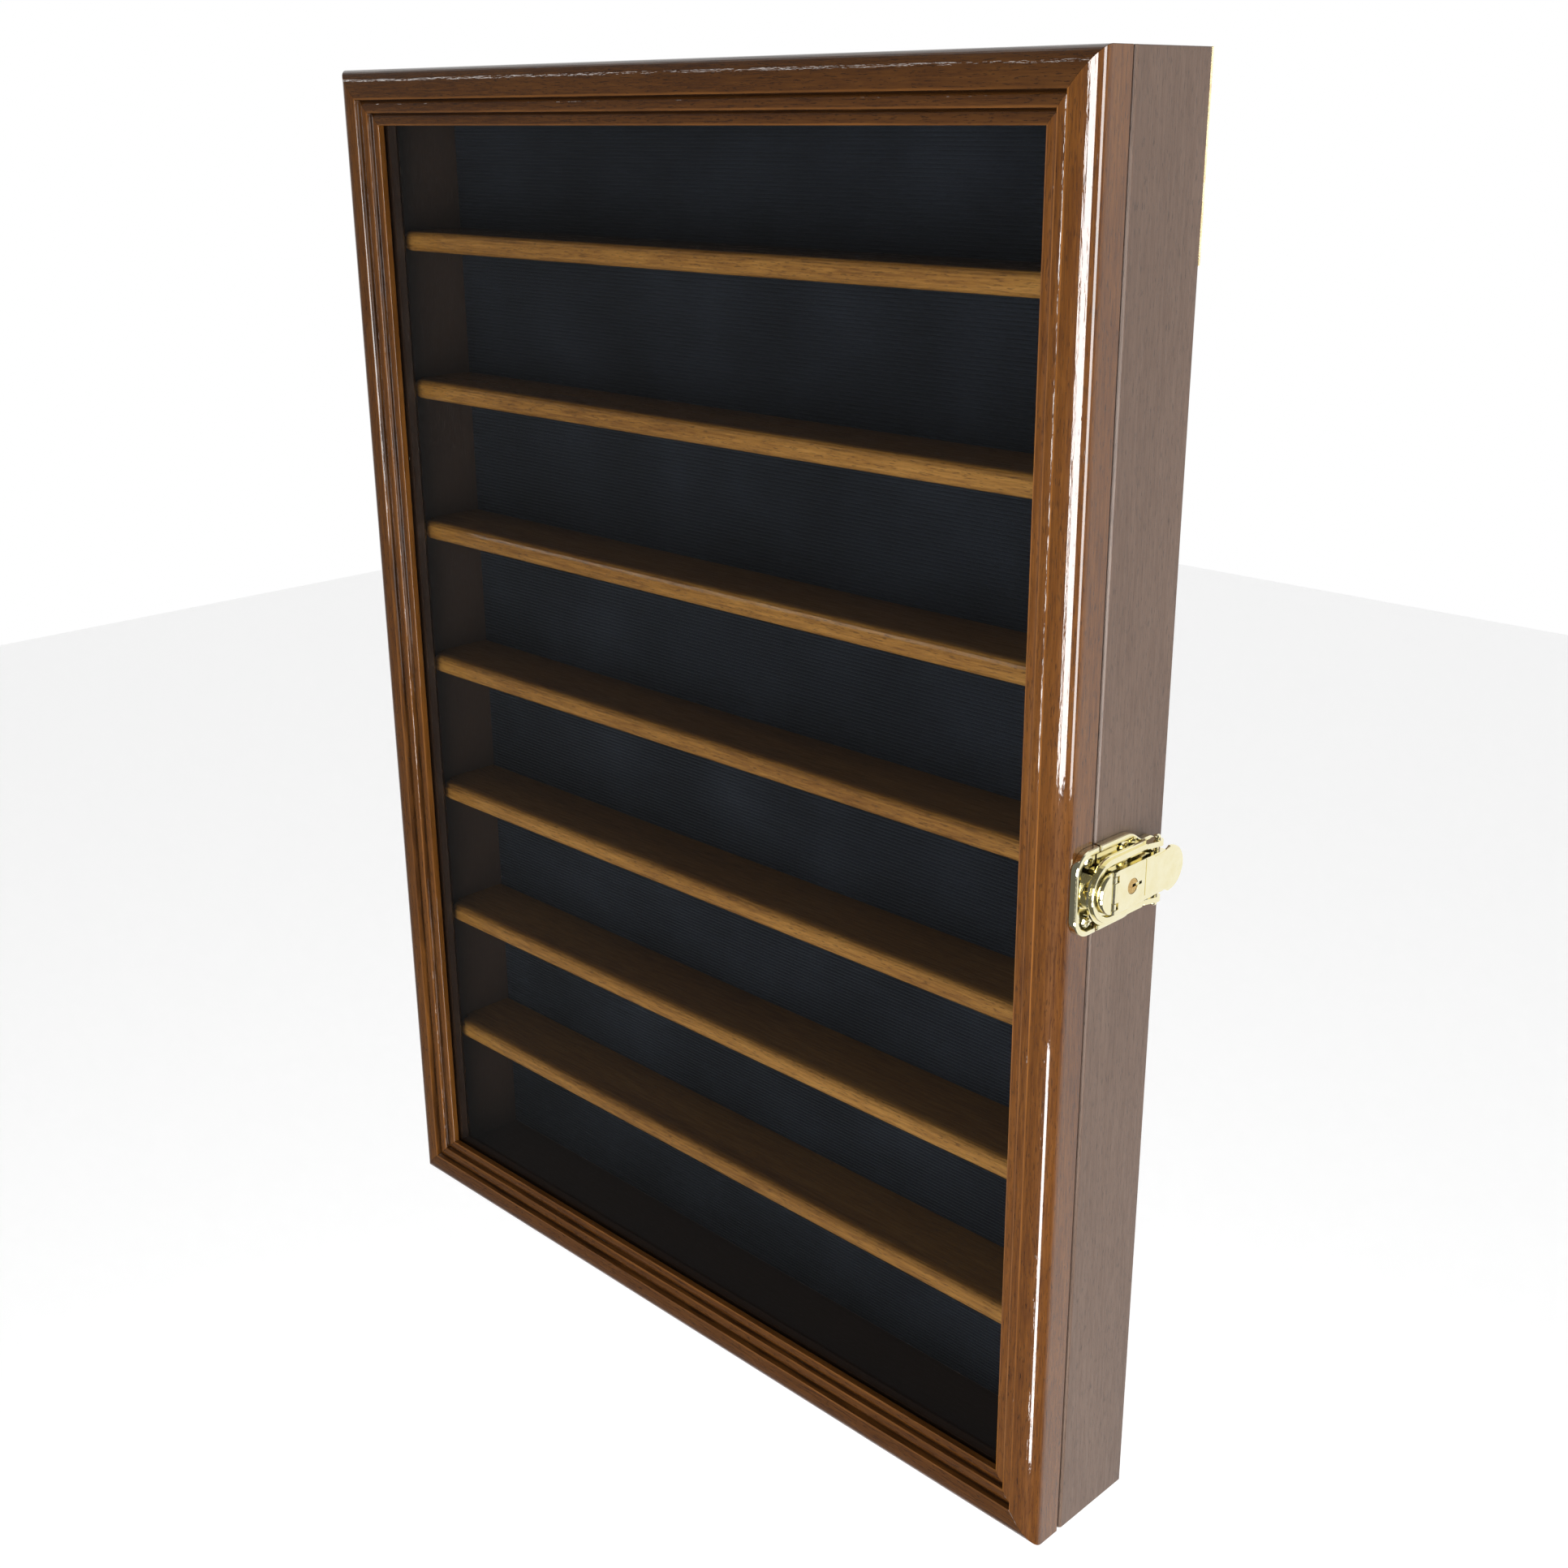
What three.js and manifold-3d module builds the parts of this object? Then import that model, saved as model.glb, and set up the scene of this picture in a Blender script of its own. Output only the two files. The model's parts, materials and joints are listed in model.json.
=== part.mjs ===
// Wall display case for small models: a shallow stained wood case with fixed shelves, a glazed
// and moulded door on two butt hinges, and a brass key-locking draw latch on the right side.
// Millimetres. X is to the right, Y goes into the wall and Z is up. The origin is the centre of
// the hanging batten's back face, which is the face that bears on the wall.

import * as THREE from 'three';
import { mergeVertices } from 'three/addons/utils/BufferGeometryUtils.js';
import Module from 'manifold-3d';

const wasm = await Module();
wasm.setup();

// Driving dimensions, mm

const HEIGHT = 609.6;
const WIDTH = 452.8;
const DEPTH = 66;                      // wall to the front of the door
const GLUE = 0.1;                      // clearance between glued or seated pieces

// Door frame moulding: a bar 25.4 wide and 18.6 thick
const DOOR_THICKNESS = 18.6;
const MOULDING = 25.4;
const ROUNDOVER = { x: 9, y: 6.2 };      // half axes of the rounded outer edge
const RABBET_FLOOR = 8.3;              // depth of the face that the pane lies against
const RABBET = 6;                      // how far the rabbet goes in behind the sight edge
const PANE = 2.4;
const STOP_DEPTH = 6.7;
const EASE = 1;                        // broken edge on the boards and the door's back

// Case boards
const BOARD = 12.7;
const DOOR_GAP = 0.9;
const DADO = 3.2;
const SHELF = 9.5;
const SHELF_PITCH = 73.15;
const SHELF_COUNT = 7;
const TOP_SHELF_Z = 229.4;             // top face of the highest shelf, from the case's middle
const SHELF_SETBACK = 1;
const SHELF_CORNER = 7;
const STOPPED = 8;                     // how far back from the shelf's front its dado starts
const BACK_REVEAL = 1.2;               // the batten stands this far behind the boards
const BATTEN = 3.6;
const BATTEN_HEIGHT = 73.9;
const BATTEN_LAP = 4;                  // how far its thinned ends reach over the sides' back edges
const BACK_PANEL = 2.6;
const BACK_RABBET = 5;
const LINING = 0.9;

// Butt hinges on the left edge
const HINGE_Z = 200;
const HINGE_LENGTH = 50;
const KNUCKLE_RADIUS = 2.5;
const KNUCKLE_OUT = 2.8;               // pin axis outside the case's left face
const MIDDLE_KNUCKLE = 8.3;            // half length of the door leaf's knuckle
const LEAF = 1.1;
const LEAF_WIDTH = 11;
const LEAF_SPLIT = 0.2;                // half the space between the closed leaves
const HINGE_PIN = 1.1;
const HINGE_BORE = 1.25;
const HINGE_SCREW_Z = 17;
const HINGE_SCREW_IN = 5.6;            // screw line, in from the case's left face

// Keyhole hangers let into the batten
const HANGER_X = 150;
const HANGER_WIDTH = 16;
const HANGER_HEIGHT = 38;
const HANGER_THICKNESS = 1.4;
const HANGER_SCREW = 14;               // screw line above and below the plate's middle

// Latch, in its own frame: x is depth behind the door's front, y is up, z is out of the side
const LATCH_Z = 2;
const LATCH_SEAT = 0.15;
const PLATE_HALF = 17.8;
const PLATE_FLOOR = 1;
const RIM_HEIGHT = 3.2;
const RIM_WIDTH = 2.1;
const STRIKE_LEFT = 4.5;
const STRIKE_RIGHT = 18.2;
const BASE_LEFT = 19.4;
const BASE_RIGHT = 55.5;
const BASE_NECK = 12.6;
const LEVER_AXIS = { x: 19.7, z: 9.3 };
const LEVER_BARREL = 1.3;
const LEVER_TOP = 10.6;
const LEVER_SKIN = 1.2;
const LEVER_HALF = 8.8;
const CHEEK = 1.1;
const CHEEK_FOOT = 5.6;
const FOLD_X = 39.1;
const TAB_TIP = 65.2;
const TAB_RADIUS = 9.65;
const TAB_NECK = 8;
const LEVER_PIN = 0.62;
const LEVER_BORE = 0.75;
const BAIL_AXIS = { x: 50.6, z: 7.2 };
const BAIL_PIN = 0.8;
const BAIL_BORE = 0.95;
const BAIL_CENTRE = 21.4;              // centre of the bail's round end
const BAIL_OUTER = 14.15;
const BAIL_INNER = 10.6;
const BAIL_STEP = 1.2;
const BAIL_BOTTOM = 5.6;
const BAIL_TOP = 7.9;
const NOSE_CENTRE = 20;
const NOSE_RADIUS = 8.9;
const NOSE_RIGHT = 18.05;
const NOSE_BOTTOM = 5.9;
const NOSE_TOP = 10.3;
const LOCK_X = 30.6;
const LOCK_DISC = 3.15;
const LOCK_SHAFT = 2.6;
const CAM_REACH = 5.8;
const KEY_SLOT = 1.3;
const LATCH_SCREW_Y = 12.4;
const STRIKE_SCREW_X = 13.2;
const BASE_SCREW_X = 36;
const EAR_SLOT = [4.1, 7.1];            // span of each slot in the lever that clears a bearing ear

// Worked out from the above

const FRONT = -DEPTH;
const DOOR_BACK = FRONT + DOOR_THICKNESS;
const CASE_FRONT = DOOR_BACK + DOOR_GAP;
const CASE_BACK = -BACK_REVEAL;
const PANEL_BACK = -BATTEN - 2 * GLUE;
const PANEL_FRONT = PANEL_BACK - BACK_PANEL;
const LINING_FRONT = PANEL_FRONT - GLUE - LINING;
const INSIDE = WIDTH / 2 - BOARD;
const CEILING = HEIGHT / 2 - BOARD;
const CASE_MIDDLE = BATTEN_HEIGHT / 2 - HEIGHT / 2;
const HINGE_X = -WIDTH / 2 - KNUCKLE_OUT;
const HINGE_Y = (DOOR_BACK + CASE_FRONT) / 2;

// Finishes

function finish(color, roughness, metalness) {
  return () => new THREE.MeshStandardMaterial({ color, roughness, metalness });
}

const mouldingWood = finish(0x6e4523, 0.38, 0);
const caseWood = finish(0x3b2519, 0.42, 0);
const shelfWood = finish(0x7a5127, 0.4, 0);
const rawPly = finish(0xd9c48d, 0.75, 0);
const hardboard = finish(0x5a4331, 0.8, 0);
const ribbedCloth = finish(0x10141a, 0.95, 0);
const brass = finish(0xd9b458, 0.18, 1);
const steel = finish(0x9a9a96, 0.35, 1);

const clearPane = () => new THREE.MeshStandardMaterial({
  color: 0xe6eeee, roughness: 0.05, metalness: 0, transparent: true, opacity: 0.25,
});

// Solid helpers

function solid(geometry) {
  const bare = geometry.clone();
  bare.deleteAttribute('normal');
  bare.deleteAttribute('uv');
  const merged = mergeVertices(bare, 1e-4);
  return new wasm.Manifold(new wasm.Mesh({
    numProp: 3,
    vertProperties: new Float32Array(merged.attributes.position.array),
    triVerts: new Uint32Array(merged.index.array),
  }));
}

function toGeometry(manifold) {
  const mesh = manifold.getMesh();
  const geometry = new THREE.BufferGeometry();
  geometry.setAttribute('position', new THREE.BufferAttribute(mesh.vertProperties, 3));
  geometry.setIndex(new THREE.BufferAttribute(mesh.triVerts, 1));
  geometry.computeVertexNormals();
  return geometry;
}

function join(geometries) {
  return toGeometry(geometries.map(solid).reduce((whole, next) => whole.add(next)));
}

function cut(geometry, tools) {
  return toGeometry(tools.map(solid).reduce((rest, tool) => rest.subtract(tool), solid(geometry)));
}

function common(a, b) {
  return toGeometry(solid(a).intersect(solid(b)));
}

function block([x0, x1], [y0, y1], [z0, z1]) {
  const box = new THREE.BoxGeometry(x1 - x0, y1 - y0, z1 - z0);
  return box.translate((x0 + x1) / 2, (y0 + y1) / 2, (z0 + z1) / 2);
}

function polygon(points) {
  return new THREE.Shape(points.map(([x, y]) => new THREE.Vector2(x, y)));
}

// A flat outline in X and Y, thickened along Z from low to high
function slab(shape, low, high, curveSegments = 12) {
  const body = new THREE.ExtrudeGeometry(shape, {
    depth: high - low, bevelEnabled: false, curveSegments,
  });
  return body.translate(0, 0, low);
}

// The same with its upper edge rounded, as a stamping's edge is
function stamped(shape, low, high, round, curveSegments = 12) {
  const body = new THREE.ExtrudeGeometry(shape, {
    depth: high - low - round,
    bevelEnabled: true,
    bevelThickness: round,
    bevelSize: round,
    bevelOffset: -round,
    bevelSegments: 2,
    curveSegments,
  });
  body.translate(0, 0, low);
  const keep = block([-200, 200], [-200, 200], [low, high + 1]);
  return common(body, keep);
}

// An outline in X and Z, thickened along Y between two values
function upright(shape, [y0, y1], curveSegments = 12) {
  const body = new THREE.ExtrudeGeometry(shape, {
    depth: y1 - y0, bevelEnabled: false, curveSegments,
  });
  return body.rotateX(Math.PI / 2).translate(0, y1, 0);
}

// Turns X, Y, Z into Y, Z, X, for outlines drawn in depth and height
const DEPTH_AND_HEIGHT = new THREE.Matrix4().makeBasis(
  new THREE.Vector3(0, 1, 0),
  new THREE.Vector3(0, 0, 1),
  new THREE.Vector3(1, 0, 0),
);

function rod(radius, [low, high], axis, segments = 16) {
  const body = new THREE.CylinderGeometry(radius, radius, high - low, segments);
  body.translate(0, (low + high) / 2, 0);
  if (axis === 'x') body.rotateZ(-Math.PI / 2);
  if (axis === 'z') body.rotateX(Math.PI / 2);
  return body;
}

function lathe(points, segments = 16) {
  const outline = points.map(([radius, height]) => new THREE.Vector2(radius, height));
  return new THREE.LatheGeometry(outline, segments).rotateX(Math.PI / 2);
}

function place(name, geometry, material, group) {
  const mesh = new THREE.Mesh(geometry, material());
  mesh.name = name;
  group.add(mesh);
  return mesh;
}

// Screws point along -Z with the head's top at z = 0

function crossRecess(span, deep) {
  const bar = block([-span, span], [-0.35, 0.35], [-deep, 1]);
  return [bar, bar.clone().rotateZ(Math.PI / 2)];
}

function panScrew() {
  const body = lathe([[0, -9.5], [1.3, -8], [1.3, -1.4], [2.65, -1.4], [2.65, -0.7], [1.9, -0.15], [0, 0]]);
  return cut(body, crossRecess(1.6, 0.8));
}

function flatScrew(length) {
  const body = lathe([[0, -length], [1, 1.3 - length], [1, -1], [2, 0], [0, 0]], 12);
  return cut(body, crossRecess(1.2, 0.5));
}

function flatScrewHole(length) {
  return lathe([[0, -length - 0.3], [1.2, 1 - length], [1.2, -1], [2.3, 0.1], [2.3, 3], [0, 3]], 12);
}

// Case: boards, shelves and back

// A board along Z with its outer face at x = 0, its outer front edge broken, and its inner back
// edge rabbeted for the back panel over the middle part of its length
function boardBlank(half, back, rabbetHalf) {
  const plan = polygon([
    [-BOARD, CASE_FRONT],
    [-EASE, CASE_FRONT],
    [0, CASE_FRONT + EASE],
    [0, back],
    [-BOARD, back],
  ]);
  const rabbet = block(
    [-BOARD - 1, BACK_RABBET - BOARD],
    [PANEL_FRONT - GLUE, 1],
    [-rabbetHalf, rabbetHalf],
  );
  return cut(slab(plan, -half, half), [rabbet]);
}

function shelfTop(index) {
  return TOP_SHELF_Z - index * SHELF_PITCH;
}

// The right side, with its outer face at x = 0
function sideBoard() {
  const half = HEIGHT / 2;
  const body = boardBlank(half, CASE_BACK, CEILING + BACK_RABBET);
  const tools = [];
  for (let i = 0; i < SHELF_COUNT; i += 1) {
    const top = shelfTop(i);
    const dadoFront = CASE_FRONT + SHELF_SETBACK + STOPPED - GLUE;
    tools.push(block(
      [-BOARD - 1, DADO - BOARD],
      [dadoFront, LINING_FRONT],
      [top - SHELF - GLUE, top + GLUE],
    ));
  }
  for (const end of [1, -1]) {
    const levels = [CEILING - GLUE, half + 1].map((z) => z * end).sort((a, b) => a - b);
    tools.push(block([-BOARD - 1, DADO - BOARD], [CASE_FRONT - 1, 1], levels));
  }
  const battenFoot = half - BATTEN_HEIGHT - GLUE;
  tools.push(block([-BOARD - 1, -BATTEN_LAP], [-BATTEN - GLUE, 1], [battenFoot, half + 1]));
  return cut(body, tools);
}

// The mirror image of an indexed geometry, flipped along X by (-1, 1) or along Z by (1, -1)
function mirrored(geometry, x, z) {
  const flipped = geometry.clone().scale(x, 1, z);
  const index = flipped.index.array;
  for (let i = 0; i < index.length; i += 3) {
    const first = index[i];
    index[i] = index[i + 1];
    index[i + 1] = first;
  }
  flipped.computeVertexNormals();
  return flipped;
}

function rightSide() {
  const holes = [1, -1].map((side) => rod(1.5, [-8.6, 1], 'x', 10)
    .translate(0, FRONT + BASE_SCREW_X, LATCH_Z + side * LATCH_SCREW_Y));
  return cut(sideBoard(), holes);
}

function leftSide() {
  const tools = [];
  for (const side of [1, -1]) {
    const z = side * HINGE_Z;
    tools.push(block(
      [-1, LEAF_WIDTH + GLUE],
      [CASE_FRONT - 1, HINGE_Y + LEAF_SPLIT + LEAF + GLUE],
      [z - HINGE_LENGTH / 2 - GLUE, z + HINGE_LENGTH / 2 + GLUE],
    ));
    for (const end of [1, -1]) {
      const hole = rod(1.2, [CASE_FRONT, CASE_FRONT + 10.5], 'y', 10);
      tools.push(hole.translate(HINGE_SCREW_IN, 0, z + end * HINGE_SCREW_Z));
    }
  }
  return cut(mirrored(sideBoard(), -1, 1), tools);
}

// A top or bottom board, outer face up at z = 0
function endBoard(back) {
  const half = INSIDE + DADO - GLUE;
  const plan = boardBlank(half, back, half + 1);
  const turned = new THREE.Matrix4().makeBasis(
    new THREE.Vector3(0, 0, 1),
    new THREE.Vector3(0, 1, 0),
    new THREE.Vector3(-1, 0, 0),
  );
  return plan.applyMatrix4(turned);
}

function shelfBoard() {
  const front = CASE_FRONT + SHELF_SETBACK;
  const back = LINING_FRONT - 2 * GLUE;
  const end = INSIDE - GLUE;
  const round = 3.6;
  const outline = new THREE.Shape();
  outline.moveTo(-end, back);
  outline.lineTo(-end, front + SHELF_CORNER);
  outline.absarc(SHELF_CORNER - end, front + SHELF_CORNER, SHELF_CORNER, Math.PI, 1.5 * Math.PI);
  outline.absarc(end - SHELF_CORNER, front + SHELF_CORNER, SHELF_CORNER, 1.5 * Math.PI, 2 * Math.PI);
  outline.lineTo(end, back);
  const nosed = new THREE.ExtrudeGeometry(outline, {
    depth: SHELF - 2 * round,
    bevelEnabled: true,
    bevelThickness: round,
    bevelSize: round,
    bevelOffset: -round,
    bevelSegments: 4,
    curveSegments: 5,
  });
  nosed.translate(0, 0, round - SHELF);
  const reach = INSIDE + DADO - GLUE;
  const tongue = block([-reach, reach], [front + STOPPED, back], [-SHELF, 0]);
  return join([nosed, tongue]);
}

function hangerHole(x) {
  const deep = [-BATTEN + 0.3, 1];
  const plate = block(
    [x - HANGER_WIDTH / 2 - GLUE, x + HANGER_WIDTH / 2 + GLUE],
    [-HANGER_THICKNESS - GLUE, 1],
    [-HANGER_HEIGHT / 2 - GLUE, HANGER_HEIGHT / 2 + GLUE],
  );
  const pocket = block([x - 5.5, x + 5.5], deep, [-9, 9]);
  const screws = [1, -1].map((end) => rod(1.2, [-BATTEN - 1, 1], 'y', 10)
    .translate(x, 0, end * HANGER_SCREW));
  return [plate, pocket, ...screws];
}

function batten() {
  const half = BATTEN_HEIGHT / 2;
  const body = block([-WIDTH / 2, WIDTH / 2], [-BATTEN, 0], [-half, half]);
  const thick = WIDTH / 2 - BATTEN_LAP - GLUE;
  const laps = [[-WIDTH, -thick], [thick, WIDTH]].map((ends) => (
    block(ends, [-BATTEN - 1, CASE_BACK + GLUE], [-half - 1, half + 1])
  ));
  return cut(body, [...laps, ...hangerHole(HANGER_X), ...hangerHole(-HANGER_X)]);
}

function backPanel() {
  const x = INSIDE + BACK_RABBET - 2 * GLUE;
  const z = CEILING + BACK_RABBET - 2 * GLUE;
  const body = block([-x, x], [PANEL_FRONT, PANEL_BACK], [-z, z]);
  const holes = [];
  for (const side of [1, -1]) {
    for (const end of [1, -1]) {
      const hole = rod(1.2, [PANEL_BACK - 1.9, 1], 'y', 10);
      holes.push(hole.translate(side * HANGER_X, 0, end * HANGER_SCREW - CASE_MIDDLE));
    }
  }
  return cut(body, holes);
}

function hangerPlate() {
  const body = block(
    [-HANGER_WIDTH / 2, HANGER_WIDTH / 2],
    [-HANGER_THICKNESS, 0],
    [-HANGER_HEIGHT / 2, HANGER_HEIGHT / 2],
  );
  const round = rod(4.4, [-5, 5], 'y', 20).translate(0, 0, -3.5);
  const slot = block([-2.3, 2.3], [-5, 5], [-3.5, 6]);
  const slotEnd = rod(2.3, [-5, 5], 'y', 14).translate(0, 0, 6);
  const screws = [1, -1].map((end) => flatScrewHole(5)
    .rotateX(-Math.PI / 2).translate(0, 0, end * HANGER_SCREW));
  return cut(body, [round, slot, slotEnd, ...screws]);
}

function buildCase(root) {
  const group = new THREE.Group();
  group.position.z = CASE_MIDDLE;
  root.add(group);

  place('case_right_side', rightSide(), caseWood, group).position.x = WIDTH / 2;
  place('case_left_side', leftSide(), caseWood, group).position.x = -WIDTH / 2;
  place('case_top', endBoard(-BATTEN - GLUE), caseWood, group).position.z = HEIGHT / 2;
  const bottom = place('case_bottom', mirrored(endBoard(CASE_BACK), 1, -1), caseWood, group);
  bottom.position.z = -HEIGHT / 2;
  for (let i = 0; i < SHELF_COUNT; i += 1) {
    place(`shelf_${i + 1}`, shelfBoard(), shelfWood, group).position.z = shelfTop(i);
  }
  place('back_panel', backPanel(), hardboard, group);
  const lining = block(
    [2 * GLUE - INSIDE, INSIDE - 2 * GLUE],
    [LINING_FRONT, LINING_FRONT + LINING],
    [2 * GLUE - CEILING, CEILING - 2 * GLUE],
  );
  place('back_lining', lining, ribbedCloth, group);

  place('hanging_batten', batten(), rawPly, root);
  for (const [name, x] of [['left', -HANGER_X], ['right', HANGER_X]]) {
    place(`hanger_plate_${name}`, hangerPlate(), steel, root).position.x = x;
    for (const [level, end] of [['upper', 1], ['lower', -1]]) {
      const screw = place(`hanger_screw_${name}_${level}`, flatScrew(5.2), steel, root);
      screw.rotation.x = -Math.PI / 2;
      screw.position.set(x, -0.15, end * HANGER_SCREW);
    }
  }
}

// Door: four mitred lengths of moulding, the pane and its stops. x is the distance in from the
// door's outer edge and y is the depth behind its front plane.

function mouldingProfile() {
  const outline = new THREE.Shape();
  outline.moveTo(EASE, DOOR_THICKNESS);
  outline.lineTo(0, DOOR_THICKNESS - EASE);
  outline.lineTo(0, ROUNDOVER.y);
  outline.absellipse(ROUNDOVER.x, ROUNDOVER.y, ROUNDOVER.x, ROUNDOVER.y, Math.PI, 1.5 * Math.PI);
  outline.lineTo(13.7, 0.4);
  outline.lineTo(13.9, 3.4);
  outline.quadraticCurveTo(16.8, 1.6, 19.7, 3.1);
  outline.lineTo(19.9, 5.5);
  outline.quadraticCurveTo(22.8, 3.9, MOULDING, 5.3);
  outline.lineTo(MOULDING, RABBET_FLOOR);
  outline.lineTo(MOULDING - RABBET, RABBET_FLOOR);
  outline.lineTo(MOULDING - RABBET, DOOR_THICKNESS);
  return outline;
}

function stopProfile() {
  const front = RABBET_FLOOR + PANE + 4 * GLUE;
  const low = MOULDING - RABBET + 2 * GLUE;
  const high = MOULDING - 0.4;
  return polygon([
    [low, front],
    [high, front],
    [high, front + STOP_DEPTH - 2.5],
    [high - 2.5, front + STOP_DEPTH],
    [low, front + STOP_DEPTH],
  ]);
}

// A bar along Z whose ends are cut at 45 degrees, so that it is shorter further in
function mitredBar(profile, half) {
  const bar = slab(profile, 0, 1, 6);
  const at = bar.attributes.position;
  for (let i = 0; i < at.count; i += 1) {
    const reach = half - at.getX(i) - 0.7 * GLUE;
    at.setZ(i, at.getZ(i) > 0.5 ? reach : -reach);
  }
  return bar;
}

function leftStile() {
  const tools = [];
  for (const side of [1, -1]) {
    const z = side * HINGE_Z;
    tools.push(block(
      [-1, LEAF_WIDTH + GLUE],
      [HINGE_Y - LEAF_SPLIT - LEAF - GLUE - FRONT, DOOR_THICKNESS + 1],
      [z - HINGE_LENGTH / 2 - GLUE, z + HINGE_LENGTH / 2 + GLUE],
    ));
    for (const end of [1, -1]) {
      const hole = rod(1.2, [DOOR_THICKNESS - 10.5, DOOR_THICKNESS], 'y', 10);
      tools.push(hole.translate(HINGE_SCREW_IN, 0, z + end * HINGE_SCREW_Z));
    }
  }
  return cut(mitredBar(mouldingProfile(), HEIGHT / 2), tools);
}

function rightStile() {
  const holes = [1, -1].map((side) => rod(1.5, [-1, 9], 'x', 10)
    .translate(0, STRIKE_SCREW_X, side * LATCH_SCREW_Y - LATCH_Z));
  return cut(mitredBar(mouldingProfile(), HEIGHT / 2), holes);
}

function buildDoor(root) {
  const group = new THREE.Group();
  group.position.set(0, FRONT, CASE_MIDDLE);
  root.add(group);

  const quarter = Math.PI / 2;
  const rail = mitredBar(mouldingProfile(), WIDTH / 2);
  const stops = {
    left: mitredBar(stopProfile(), HEIGHT / 2),
    right: mitredBar(stopProfile(), HEIGHT / 2),
    top: mitredBar(stopProfile(), WIDTH / 2),
    bottom: mitredBar(stopProfile(), WIDTH / 2),
  };
  const sides = [
    ['left', 'door_stile_left', leftStile(), [-WIDTH / 2, 0], 0],
    ['right', 'door_stile_right', rightStile(), [WIDTH / 2, 0], 2 * quarter],
    ['top', 'door_rail_top', rail, [0, HEIGHT / 2], quarter],
    ['bottom', 'door_rail_bottom', rail.clone(), [0, -HEIGHT / 2], -quarter],
  ];
  for (const [side, name, geometry, [x, z], turn] of sides) {
    for (const mesh of [
      place(name, geometry, mouldingWood, group),
      place(`pane_stop_${side}`, stops[side], mouldingWood, group),
    ]) {
      mesh.position.set(x, 0, z);
      mesh.rotation.y = turn;
    }
  }

  const edge = MOULDING - RABBET + 3 * GLUE;
  const pane = block(
    [edge - WIDTH / 2, WIDTH / 2 - edge],
    [RABBET_FLOOR + 2 * GLUE, RABBET_FLOOR + 2 * GLUE + PANE],
    [edge - HEIGHT / 2, HEIGHT / 2 - edge],
  );
  place('door_pane', pane, clearPane, group);
}

// Butt hinge, with its pin axis at x = 0, y = 0. The case leaf lies just behind the axis and the
// door leaf just in front of it.

function leafPlate(side) {
  const near = KNUCKLE_OUT + GLUE;
  const far = KNUCKLE_OUT + LEAF_WIDTH;
  const faces = [side * LEAF_SPLIT, side * (LEAF_SPLIT + LEAF)].sort((a, b) => a - b);
  const bridgeSpans = side > 0
    ? [[-HINGE_LENGTH / 2, -MIDDLE_KNUCKLE - 0.3], [MIDDLE_KNUCKLE + 0.3, HINGE_LENGTH / 2]]
    : [[-MIDDLE_KNUCKLE, MIDDLE_KNUCKLE]];
  const pieces = [block([near, far], faces, [-HINGE_LENGTH / 2, HINGE_LENGTH / 2])];
  for (const span of bridgeSpans) {
    pieces.push(block([1.6, near + 1], faces, span));
    pieces.push(rod(KNUCKLE_RADIUS, span, 'z', 20));
  }
  const tools = [rod(HINGE_BORE, [-HINGE_LENGTH, HINGE_LENGTH], 'z', 16)];
  for (const end of [1, -1]) {
    const hole = flatScrewHole(9).rotateX(side * Math.PI / 2);
    const surface = side * (LEAF_SPLIT + 0.05);
    tools.push(hole.translate(KNUCKLE_OUT + HINGE_SCREW_IN, surface, end * HINGE_SCREW_Z));
  }
  return cut(join(pieces), tools);
}

function hingePin() {
  const half = HINGE_LENGTH / 2;
  const tip = half + 2.4;
  return lathe([
    [0, -tip], [1, -tip + 0.3], [1.6, -half - 1.2], [1.1, -half - 0.3],
    [HINGE_PIN, half + 0.3], [1.6, half + 1.2], [1, tip - 0.3], [0, tip],
  ]);
}

function buildHinge(name, height, root) {
  const group = new THREE.Group();
  group.position.set(HINGE_X, HINGE_Y, CASE_MIDDLE + height);
  root.add(group);
  place(`hinge_${name}_case_leaf`, leafPlate(1), brass, group);
  place(`hinge_${name}_door_leaf`, leafPlate(-1), brass, group);
  place(`hinge_${name}_pin`, hingePin(), brass, group);
  for (const [leaf, side] of [['case', 1], ['door', -1]]) {
    for (const [level, end] of [['a', 1], ['b', -1]]) {
      const screw = place(`hinge_${name}_${leaf}_screw_${level}`, flatScrew(9), brass, group);
      screw.rotation.x = side * Math.PI / 2;
      screw.position.set(
        KNUCKLE_OUT + HINGE_SCREW_IN,
        side * (LEAF_SPLIT + 0.15),
        end * HINGE_SCREW_Z,
      );
    }
  }
}

// Latch

function strikeOutline(inset, right) {
  const corner = 8.5;
  const half = PLATE_HALF - inset;
  const centre = STRIKE_LEFT + corner;
  const level = PLATE_HALF - corner;
  const outline = new THREE.Shape();
  outline.moveTo(right, half);
  outline.lineTo(centre, half);
  outline.absarc(centre, level, corner - inset, Math.PI / 2, Math.PI);
  outline.absarc(centre, -level, corner - inset, Math.PI, 1.5 * Math.PI);
  outline.lineTo(right, -half);
  return outline;
}

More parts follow.
